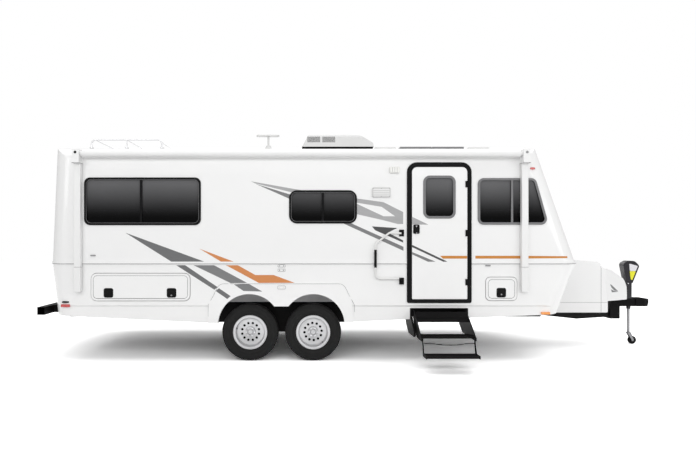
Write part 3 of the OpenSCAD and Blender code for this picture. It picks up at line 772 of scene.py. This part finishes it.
# Half of the tyre's section as (radius, along the axle), from the bead to the shoulder
sidewall = ((0.197, 0.0785), (0.2205, 0.0800), (0.2230, 0.0930), (0.2300, 0.0975), (0.2350, 0.0975),
            (0.2380, 0.0955), (0.250, 0.100), (0.264, 0.1045), (0.268, 0.1075), (0.273, 0.1080),
            (0.277, 0.1065), (0.294, 0.1095), (0.310, 0.1088), (0.314, 0.1100), (0.319, 0.1095),
            (0.323, 0.1065), (0.337, 0.1025), (0.347, 0.0985), (0.354, 0.0930), (0.3565, 0.0860))
tyreSizes = {"outer": 0.364, "grooves": (0.052, 0.018, -0.018, -0.052), "groove": 0.350, "rib": 0.3585,
             "blocks": 64}
# Each row of tread blocks: where it starts and ends along the axle, and its skew
treadRows = ((0.058, 0.094, 0.004), (0.024, 0.046, -0.003), (-0.013, 0.013, 0.003), (-0.046, -0.024, -0.003),
             (-0.094, -0.058, 0.004))
wheelFittings = {"nuts": 6, "nutCircle": 0.0515, "nutFace": 0.047, "capFace": 0.060, "valveCircle": 0.178,
                 "valveFace": 0.044}


def treadBlocks():
    row = bmesh.new()
    for start, end, skew in treadRows:
        for vert in addBox(row, (-0.0085, -0.0135, start), (0.0, 0.0135, end)):
            vert.co.y += skew * (1 if vert.co.z > (start + end) / 2 else -1)
            if abs(vert.co.z) > 0.09:      # the shoulder blocks' outer ends are lower
                vert.co.x -= 0.006
    block = template(row)
    blocks = repeated("ring", block, tyreBlack, Count=tyreSizes["blocks"], Radius=tyreSizes["outer"])
    drop(block)
    return blocks


def buildTyre(name, centre, turn, outward):
    profile = list(sidewall)
    rib, groove = tyreSizes["rib"], tyreSizes["groove"]
    for middle in tyreSizes["grooves"]:
        profile += [(rib, middle + 0.006), (groove, middle + 0.004), (groove, middle - 0.004),
                    (rib, middle - 0.006)]
    profile += [(radius, -along) for radius, along in reversed(sidewall)]
    shape = bmesh.new()
    addTurned(shape, profile, centre, outward, 96)
    start = len(shape.verts)
    shape.from_mesh(treadBlocks())
    shape.verts.ensure_lookup_table()
    bmesh.ops.transform(shape, matrix=turn, verts=shape.verts[start:])
    fromShape("tyre_" + name + "Shown", shape, "wheel_" + name, [tyreBlack], ["tyre_" + name],
              32, weighted=False)


# Lug nuts, centre cap and valve
def buildWheelFittings(name, centre, turn, outward, valveAngle):
    nut, cap, stem = bmesh.new(), bmesh.new(), bmesh.new()
    addCylinder(nut, (0, 0, 0.006), (0, 0, 1), 0.0105, 0.020, 6)
    addCylinder(nut, (0, 0, 0.018), (0, 0, 1), 0.0085, 0.008, 12, 0.004)
    addTurned(cap, ((0.001, 0.016), (0.020, 0.0155), (0.031, 0.012), (0.036, 0.004), (0.038, -0.006),
                    (0.001, -0.006)), (0, 0, 0), (0, 0, 1), 40)
    addCylinder(stem, (0, 0, 0), (0, 0, 1), 0.0055, 0.030, 12)
    addCylinder(stem, (0, 0, 0.018), (0, 0, 1), 0.0045, 0.010, 12)
    nutPiece, capPiece, valve = template(nut), template(cap, rimPaint), template(stem, rubberBlack)
    nuts = repeated("ring", nutPiece, plateChrome, Count=wheelFittings["nuts"],
                    Radius=wheelFittings["nutCircle"])
    angle = math.radians(valveAngle)
    valveFoot = centre + Vector((math.cos(angle), 0, math.sin(angle))) * wheelFittings["valveCircle"]
    valveTurn = Matrix.Translation(valveFoot - centre) @ turn
    joined("wheel_" + name + "Fittings",
           [(nuts, turn @ Matrix.Translation((0, 0, wheelFittings["nutFace"]))),
            (capPiece.data, turn @ Matrix.Translation((0, 0, wheelFittings["capFace"]))),
            (valve.data, valveTurn @ Matrix.Translation((0, 0, wheelFittings["valveFace"])))],
           "wheel_" + name)
    drop(nutPiece, capPiece, valve)


for name, side, valveAngle in (("near_rear", -1, 166), ("near_front", -1, -48), ("far_rear", 1, 20),
                               ("far_front", 1, 205)):
    low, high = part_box("tyre_" + name)
    centre, outward = (low + high) / 2, Vector((0, side, 0))
    turn = Matrix.Translation(centre) @ outward.to_track_quat("Z", "Y").to_matrix().to_4x4()
    buildTyre(name, centre, turn, outward)
    refined("rim_" + name, "wheel_" + name, rimPaint, 0.0015, 28)
    buildWheelFittings(name, centre, turn, outward, valveAngle)


print("tubes and roller")
handleSizes = {"off": 0.032, "radius": 0.0125, "bend": 0.05, "sleeve": 1.485, "gripX": 1.190, "gripZ": 1.297,
               "ribs": 9, "ribPitch": 0.024}


def buildHandle():
    y = -bodyHalf - handleSizes["off"]
    shape = bmesh.new()
    addTube(shape, [at(x, y, z) for x, z in (
        (1.524, 1.634), (1.524, 1.618), (1.362, 1.622), (1.200, 1.490), (1.190, 1.460), (1.190, 1.080),
        (1.225, 1.044), (1.500, 1.044), (1.524, 1.030), (1.524, 1.001))],
        handleSizes["radius"], handleSizes["bend"], 20, Vector((0, 1, 0)))
    for face in shape.faces:       # black sleeves at the mounts
        face.material_index = face.calc_center_median().x > datum.x + handleSizes["sleeve"]
    fromShape("grabHandleTube", shape, "grab_handle", [handlePale, rubberBlack],
              ["grab_handle"], 50, weighted=False)
    grip = bmesh.new()
    profile = [(0.0127, -0.113), (0.0155, -0.111), (0.0165, -0.105)]
    for k in range(handleSizes["ribs"]):
        z = -0.096 + k * handleSizes["ribPitch"]
        profile += [(0.0165, z - 0.004), (0.0150, z - 0.002), (0.0150, z + 0.002), (0.0165, z + 0.004)]
    profile += [(0.0165, 0.105), (0.0155, 0.111), (0.0127, 0.113)]
    addTurned(grip, profile, at(handleSizes["gripX"], y, handleSizes["gripZ"]), (0, 0, 1), 28)
    fromShape("grabHandleGrip", grip, "grab_handle", [rubberBlack], smooth=40,
              weighted=False)


rackSizes = {"posts": (-2.61, -2.13, -1.65), "bars": (-2.56, -2.13, -1.70), "half": 0.700, "foot": 2.790,
             "rail": 2.903, "railRadius": 0.011, "barRadius": 0.009}


def buildRack():
    foot, rail, half, bar = (rackSizes[key] for key in ("foot", "rail", "half", "barRadius"))
    rear, middle, front = rackSizes["posts"]
    rack = bmesh.new()
    for y in (-half, half):
        addTube(rack, [at(x, y, z) for x, z in (
            (rear, foot), (rear, 2.870), (rear + 0.04, rail), (front - 0.04, rail), (front, 2.870),
            (front, foot))], rackSizes["railRadius"], 0.05)
        addTube(rack, [at(middle, y, foot), at(middle, y, rail)], bar)
        for x in rackSizes["posts"]:
            addCylinder(rack, at(x, y, foot), (0, 0, 1), 0.028, 0.008, 24)
    for x in rackSizes["bars"]:
        addTube(rack, [at(x, -half, rail), at(x, half, rail)], bar, up=Vector((0, 0, 1)))
    fromShape("roofRackTubes", rack, "trailer", [tubeMetal], ["roof_rack"], 50, weighted=False)


# The ladder's two sides, each with its place across and the height of the roof under its hook
ladderSizes = {"sides": ((0.52, 2.814), (0.87, 2.764)), "atBelt": -3.100, "foot": 0.672, "top": 2.60,
               "rungs": 7, "firstRung": 0.70, "rungPitch": 0.27, "stays": ((0.9, 0.15), (2.2, 0.108))}


def buildLadder():
    def on(y, z, ahead=0.0):
        return at(leaning(ladderSizes["atBelt"], z, bodySizes["rearLean"]) + ahead, y, z)
    ladder = bmesh.new()
    for y, roofZ in ladderSizes["sides"]:
        addTube(ladder, [on(y, ladderSizes["foot"]), on(y, ladderSizes["top"]), at(-3.00, y, roofZ),
                         at(-2.87, y, roofZ + 0.075), at(-2.77, y, roofZ)], 0.0115, 0.09)
        for z, reach in ladderSizes["stays"]:
            addTube(ladder, [on(y, z), on(y, z, reach)], 0.009)
    near, far = (side[0] for side in ladderSizes["sides"])
    for k in range(ladderSizes["rungs"]):
        z = ladderSizes["firstRung"] + k * ladderSizes["rungPitch"]
        addTube(ladder, [on(near, z), on(far, z)], 0.010, up=Vector((0, 0, 1)))
        back = leaning(ladderSizes["atBelt"], z, bodySizes["rearLean"])
        for _ in range(2):         # the tread pad is laid twice in one place
            addBox(ladder, at(back - 0.010, 0.55, z + 0.006), at(back + 0.016, 0.84, z + 0.012))
    fromShape("ladderTubes", ladder, "trailer", [tubeMetal], ["rear_ladder"], 50, weighted=False)


rollerSizes = {"radius": 0.0455, "lap": 0.0035, "sides": 56, "capRadius": 0.0498, "capLength": 0.034}


# A rolled tube with the fabric's edge lapping over it, and its two end caps
def buildRoller():
    low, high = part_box("awning_roller")
    middle = (low + high) / 2
    roller = bmesh.new()
    section = []
    for k in range(rollerSizes["sides"]):
        share = k / rollerSizes["sides"]
        angle = 2 * math.pi * share + 0.9
        radius = rollerSizes["radius"] + rollerSizes["lap"] * share
        section.append((radius * math.cos(angle), radius * math.sin(angle)))
    addSweep(roller, [Vector((x, middle.y, middle.z)) for x in (low.x + 0.03, high.x - 0.03)], section)
    for x in (low.x + 0.018, high.x - 0.018):
        addCylinder(roller, (x, middle.y, middle.z), (1, 0, 0), rollerSizes["capRadius"],
                    rollerSizes["capLength"], 48)
    fromShape("awningRoll", roller, "trailer", [whiteMetal], ["awning_roller"], 30, bevel=0.001)


buildHandle()
buildRack()
buildLadder()
buildRoller()


print("fittings")
fittingFinishes = [frameBlack, lampRed, lampAmber, lampClear, trimGrey, plateChrome, gelcoat, shadowGroove,
                   panelYellow, panelWhite, rubberBlack]
# Index 7 is painted shade in grooves and seams, and also the grey of catches and label edges
black, red, amber, clear, grey, chrome, white, shadeAndTrim, yellow, label, rubber = range(11)


# A rounded badge, lens or plate: centre and size in x and z, standing between two depths off the surface
def badge(shape, centre, size, depth, finish, side=-1, node=None, corner=None):
    x, z = centre
    w, h = size[0] / 2, size[1] / 2
    outline = roundedOutline(boxCorners(x - w, z - h, x + w, z + h), corner or min(w, h) * 0.4, 5)
    addPlate(shape, outline, depth[0], depth[1], side, None, node, finish)


lineSizes = {"thin": 0.0022, "gasCover": 0.0025, "belt": 0.0032, "shortest": 0.002}


# A thin line round a CAD node where a plane meets it
def seamLines(shape, node, point, normal, radius, finish, keep=None):
    cut = copyOf(node)
    made = bmesh.ops.bisect_plane(cut, geom=cut.verts[:] + cut.edges[:] + cut.faces[:],
                                  plane_co=point, plane_no=normal)["geom_cut"]
    edges = dict.fromkeys(edge for edge in made if isinstance(edge, bmesh.types.BMEdge))
    before = len(shape.faces)
    while edges:
        edge = next(iter(edges))       # the first one left, so that each run starts at the same place
        del edges[edge]
        chain = [edge.verts[0], edge.verts[1]]
        for _ in range(2):
            chain.reverse()
            onward = True
            while onward:
                onward = next((e for e in chain[-1].link_edges if e in edges), None)
                if onward:
                    del edges[onward]
                    chain.append(onward.other_vert(chain[-1]))
        closed = chain[0] is chain[-1]
        path = [chain[0].co.copy()]
        for vert in chain[1:]:
            if (vert.co - path[-1]).length > lineSizes["shortest"]:
                path.append(vert.co.copy())
        if closed and (path[0] - path[-1]).length < lineSizes["shortest"]:
            path.pop()
        if len(path) > 2 and (keep is None or keep(path[len(path) // 2] - datum)):
            addSweep(shape, path, circleSection(radius, 6), Vector(normal), closed)
    cut.free()
    finishSince(shape, before, finish)


# Moves a flat repeated mesh onto a wall: its z becomes the distance off the surface
def laidOn(mesh, centre, side, node):
    for vert in mesh.vertices:
        vert.co = onWall(centre[0] + vert.co.x, centre[1] + vert.co.y, side, vert.co.z, node)


# Tail lamp lenses and a blank number plate: inner and outer depth, half width, lower and upper edge, finish
lensBands = ((0.0270, 0.0300, 0.088, -0.052, -0.020, clear), (0.0270, 0.0300, 0.088, -0.014, 0.022, red),
             (0.0270, 0.0300, 0.088, 0.028, 0.052, amber))
plateLayers = ((-0.004, 0.0045, 0.160, -0.084, 0.084, grey), (0.000, 0.0065, 0.152, -0.076, 0.076, label))
markerSizes = {"across": (-0.93, -0.22, 0, 0.22, 0.93), "frontAtBelt": 3.825, "frontZ": 2.455,
               "rearAtBelt": -2.990, "rearZ": 2.560, "radius": 0.022, "length": 0.024, "tip": 0.014}
tailSizes = {"lampsY": 0.700, "x": -2.948, "z": 0.830, "lean": -6.3}


# Marker lamps along the tops of the end walls
def addMarkers(shape):
    lean = math.radians(bodySizes["frontLean"])
    frontX = leaning(markerSizes["frontAtBelt"], markerSizes["frontZ"], -bodySizes["frontLean"])
    rearX = leaning(markerSizes["rearAtBelt"], markerSizes["rearZ"], bodySizes["rearLean"])
    for y in markerSizes["across"]:
        front, rear = at(frontX, y, markerSizes["frontZ"]), at(rearX, y, markerSizes["rearZ"])
        for place, axis, finish in ((front, (math.cos(lean), 0, math.sin(lean)), amber),
                                    (rear, (-1, 0, 0.04), red)):
            addCylinder(shape, place, axis, markerSizes["radius"], markerSizes["length"], 24,
                        markerSizes["tip"], finish)


def addTailLamps(shape):
    for y, parts in ((-tailSizes["lampsY"], lensBands), (tailSizes["lampsY"], lensBands), (0, plateLayers)):
        place = Matrix.Translation(at(tailSizes["x"], y, tailSizes["z"])) @ \
            Matrix.Rotation(math.radians(tailSizes["lean"]), 4, "Y")
        for inner, outer, across, low, high, finish in parts:
            made = addBox(shape, (-outer, -across, low), (-inner, across, high))
            bmesh.ops.transform(shape, matrix=place, verts=made)
            finishRound(made, finish)


def buildWallFittings():
    shape = bmesh.new()
    for side in (-1, 1):
        badge(shape, (-2.738, 0.7005), (0.114, 0.035), (-0.020, 0.010), red, side)
        badge(shape, (-2.738, 0.7455), (0.085, 0.020), (-0.020, 0.006), black, side)
        badge(shape, (3.3525, 0.604), (0.109, 0.032), (-0.020, 0.010), amber, side)
        badge(shape, (3.190, 2.442), (0.066, 0.026), (-0.002, 0.012), red, side, "upper_shell", 0.012)
    addMarkers(shape)
    addTailLamps(shape)
    for x in (-2.563, 3.066):
        addCylinder(shape, at(x, -bodyHalf - 0.128, 2.628), (0, -1, 0), 0.017, 0.006, 24, None, rubber)
    for place in ((-2.389, 1.336), (2.620, 1.208)):    # catches that hold a lifted hatch or an open door
        badge(shape, place, (0.064, 0.016), (-0.001, 0.009), shadeAndTrim)
    for z, size in ((1.205, (0.088, 0.026)), (1.150, (0.088, 0.026)), (0.932, (0.092, 0.036))):
        badge(shape, (0.003, z), (size[0] + 0.008, size[1] + 0.008), (-0.001, 0.003), shadeAndTrim, node="lower_shell")
        badge(shape, (0.003, z), size, (-0.001, 0.008), white, node="lower_shell")
        for x in (-0.022, 0.028):
            addCylinder(shape, onWall(x, z, -1, 0.009, "lower_shell"), (0, 1, 0), 0.007, 0.003, 12, None, grey)
    badge(shape, (1.433, 2.419), (0.108, 0.064), (0.035, 0.040), clear)
    for k in range(3):
        badge(shape, (1.404 + k * 0.029, 2.419), (0.003, 0.058), (0.0395, 0.0415), grey)
    fromShape("wallFittings", shape, "trailer", fittingFinishes, bevel=0.0012)


def buildSeamsAndPaintedLines():
    seams = bmesh.new()
    thin = lineSizes["thin"]
    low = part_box("upper_shell")[0].z
    # painted highlight: a thin grey line inside each black window frame, where its inner edge catches the light
    for corners in (((-2.472, 1.749), (-1.048, 1.749), (-1.048, 2.298), (-2.472, 2.298)),
                    ((0.126, 1.770), (0.930, 1.770), (0.930, 2.136), (0.126, 2.136))):
        route = roundedPath([at(x, -bodyHalf - 0.0105, z) for x, z in corners], 0.062, 8, True)
        before = len(seams.faces)
        addSweep(seams, route, circleSection(thin, 6), Vector((0, 1, 0)), True)
        finishSince(seams, before, grey)
    seamLines(seams, "upper_shell", Vector((0, 0, low + 0.002)), Vector((0, 0, 1)), lineSizes["belt"], grey,
              lambda c: abs(c.y) > 1.19 or c.x > 2.9 or c.x < -2.7)
    for side in (-1, 1):       # painted shade: a thin grey line along the moulded edge over the wheel arches
        route = roundedPath([Vector((x, 0, z)) for x, z in (
            (-0.930, 0.560), (-0.930, 0.705), (-0.865, 0.820), (-0.790, 0.978), (0.790, 0.978), (0.865, 0.820),
            (0.930, 0.705), (0.930, 0.560))], 0.10)
        path = []
        for one, two in zip(route, route[1:]):
            steps = max(1, int((two - one).length / 0.04))
            path += [one.lerp(two, k / steps) for k in range(steps)]
        before = len(seams.faces)
        addSweep(seams, [onWall(p.x, p.z, side, 0.0002, "lower_shell") for p in path],
                 circleSection(thin, 6), Vector((0, 1, 0)))
        finishSince(seams, before, shadeAndTrim)
    # The gas cover's grey lines are painted shade at its lip and at the seam between box and nose; the lines on
    # the awning arms and jack are their own dark joints
    for node, z, finish in (("gas_cover", 0.647, shadeAndTrim), ("gas_cover", 0.505, shadeAndTrim),
                            ("awning_arms", 2.498, grey), ("awning_arms", 1.192, grey),
                            ("jack_body", 0.66, black), ("jack_body", 0.91, black)):
        seamLines(seams, node, at(0, 0, z), Vector((0, 0, 1)), thin, finish)
    seamLines(seams, "gas_cover", at(4.506, 0, 0), Vector((1, 0, 0)), lineSizes["gasCover"], shadeAndTrim)
    fromShape("seamLines", seams, "trailer", fittingFinishes, smooth=80, weighted=False)


def buildJackPanels():
    jack = bmesh.new()
    addPlate(jack, roundedOutline(((5.130, 1.183), (5.258, 1.146), (5.229, 1.072), (5.138, 1.072)), 0.010),
             -0.0005, 0.0012, -1, None, "jack_body", label)
    addPlate(jack, roundedOutline(((5.138, 1.069), (5.228, 1.069), (5.174, 0.934), (5.152, 0.950)), 0.008),
             -0.0005, 0.0012, -1, None, "jack_body", yellow)
    addCylinder(jack, onWall(5.120, 0.886, -1, 0.004, "jack_body"), (0, 1, 0), 0.008, 0.010, 6, None, chrome)
    fromShape("jackPanels", jack, "trailer", fittingFinishes, weighted=False)


# The outlines of a ring that follows a node's box, from the inset and corner radius of each edge
def ringOutlines(node, edges):
    low, high = (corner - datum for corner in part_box(node))
    return [roundedOutline(boxCorners(low.x + inset, low.z + inset, high.x - inset, high.z - inset), radius, 8)
            for inset, radius in edges]


# The door's grey window ring, its paddle latch and lock
def buildDoorFittings():
    door = bmesh.new()
    ring = ringOutlines("door_glass", ((-0.020, 0.084), (0.012, 0.052)))
    addPlate(door, ring[0], 0.014, 0.0225, -1, ring[1], None, grey)
    badge(door, (1.709, 1.6695), (0.080, 0.115), (0.001, 0.011), black, node="entry_door")
    badge(door, (1.709, 1.655), (0.050, 0.060), (0.010, 0.018), rubber, node="entry_door")
    for z in (1.708, 1.625):
        addCylinder(door, onWall(1.709, z, -1, 0.013, "entry_door"), (0, 1, 0), 0.0085, 0.006, 20, None, chrome)
    fromShape("doorFittings", door, "entry_door", fittingFinishes, bevel=0.0012)


# Each hatch's latches, and the line pressed round its panel, drawn as a grey ring of painted shade
def buildHatchFittings():
    panelProud = 0.008
    for node, side, spots in (("rear_hatch", -1, ((-2.190, 0.862), (-1.391, 0.862))),
                              ("off_side_hatch", 1, ((-2.190, 0.862), (-1.391, 0.862))),
                              ("front_hatch", -1, ((2.787, 0.874),))):
        hatch = bmesh.new()
        proud = 0.005 if side < 0 else 0.0     # the far side's latches already are the widest points
        for x, z in spots:
            badge(hatch, (x, z + 0.018), (0.084, 0.052), (-0.002, proud), rubber, side, node)
            addCylinder(hatch, onWall(x, z - 0.030, side, proud - 0.0045, node), (0, 1, 0), 0.010, 0.009,
                        20, None, chrome)
        edge = ringOutlines(node, ((0.026, 0.050), (0.031, 0.045)))
        # painted shade: a flat grey ring where the pressed line's groove would be in shadow
        addPlate(hatch, edge[0], -0.002, 0.0012, side, edge[1], None, shadeAndTrim)
        for vert in hatch.verts:       # the pressed line lies on the panel, which stands off the wall
            if abs(vert.co.y) < bodyHalf + 0.0015:
                vert.co.y += side * panelProud
        fromShape(node + "Fittings", hatch, node, fittingFinishes)


buildWallFittings()
buildSeamsAndPaintedLines()
buildJackPanels()
buildDoorFittings()
buildHatchFittings()


print("repeated details")
coolerSizes = {"along": (0.430, 0.646), "z": 2.975}
coolerGrid = {"Width": 0.170, "Height": 0.070, "Columns": 13, "Rows": 6}


def buildCoolerHoles():
    dot = bmesh.new()
    addCylinder(dot, (0, 0, 0), (0, 0, 1), 0.0056, 0.002, 10)
    hole = template(dot)
    parts = []
    for x in coolerSizes["along"]:
        for side in (-1, 1):
            mesh = repeated("grid", hole, rubberBlack, **coolerGrid)
            laidOn(mesh, (x, coolerSizes["z"]), side, "air_conditioner")
            parts.append((mesh, Matrix()))
    joined("coolerHoles", parts, "trailer")
    drop(hole)


# The studs of each step: width and depth of their grid, its place out from the wall, and the tread's height
stepStuds = {"upper_step": (0.58, 0.17, 0.3085, 0.3785), "lower_step": (0.55, 0.16, 0.550, 0.1905)}


def buildSteps():
    knob = bmesh.new()
    addCylinder(knob, (0, 0, 0.001), (0, 0, 1), 0.006, 0.003, 8, 0.004)
    stud = template(knob)
    for node, (width, depth, out, top) in stepStuds.items():
        mesh = repeated("grid", stud, chassisPaint, Width=width, Height=depth, Columns=20, Rows=7)
        place = Matrix.Translation(at(2.0, -bodyHalf - out, top))
        joined(node + "Studs", [(mesh, place)], node)
    drop(stud)
    bar = bmesh.new()
    addTube(bar, [at(x, -1.720, z) for x, z in ((1.696, 0.318), (1.80, 0.316), (1.92, 0.300), (2.0, 0.298),
                                                (2.08, 0.300), (2.20, 0.316), (2.304, 0.318))], 0.005, 0.06)
    fromShape("stepBar", bar, "lower_step", [chassisPaint], smooth=60, weighted=False)


# Each vent's screws: middle x and z, width and height of their grid, columns, side, distance off the wall
ventScrews = ((1.2675, 2.1365, 0.21, 0.10, 3, -1, 0.018), (0.36, 1.465, 0.49, 0.32, 4, 1, 0.0128),
              (0.36, 2.35, 0.49, 0.19, 4, 1, 0.0128), (1.525, 1.025, 0.42, 0.30, 4, 1, 0.0128))
# Each vent's louvres: ends in x and z, side, distance off the wall and thickness, finish; the paper-thin grey
# strips are painted shade between louvres
ventSlats = ((1.165, 1.370, 2.090, 2.184, -1, 0.018, 0.003, white),
             (0.12, 0.60, 1.33, 1.60, 1, 0.014, 0.0003, shadeAndTrim),
             (0.12, 0.60, 2.27, 2.43, 1, 0.014, 0.0003, shadeAndTrim),
             (1.33, 1.72, 0.90, 1.15, 1, 0.014, 0.0003, shadeAndTrim))
slatPitch = 0.022


def buildVents():
    screw = bmesh.new()
    addCylinder(screw, (0, 0, 0.0008), (0, 0, 1), 0.0042, 0.0016, 10, 0.003)
    head = template(screw)
    parts = []
    for x, z, width, height, columns, side, off in ventScrews:
        mesh = repeated("grid", head, trimGrey, Width=width, Height=height, Columns=columns, Rows=2)
        for vert in mesh.vertices:
            vert.co = at(x - side * vert.co.x, side * (bodyHalf + off + vert.co.z), z + vert.co.y)
        parts.append((mesh, Matrix()))
    joined("ventScrews", parts, "trailer")
    drop(head)
    slats = bmesh.new()
    for x0, x1, z0, z1, side, off, thick, finish in ventSlats:
        count = int((z1 - z0) / slatPitch)
        for k in range(count):
            z = z0 + (k + 0.5) * (z1 - z0) / count
            badge(slats, ((x0 + x1) / 2, z), (x1 - x0, 0.010), (off - 0.001, off + thick), finish, side,
                  None, 0.003)
    fromShape("ventSlats", slats, "trailer", fittingFinishes, weighted=False)


buildCoolerHoles()
buildSteps()
buildVents()
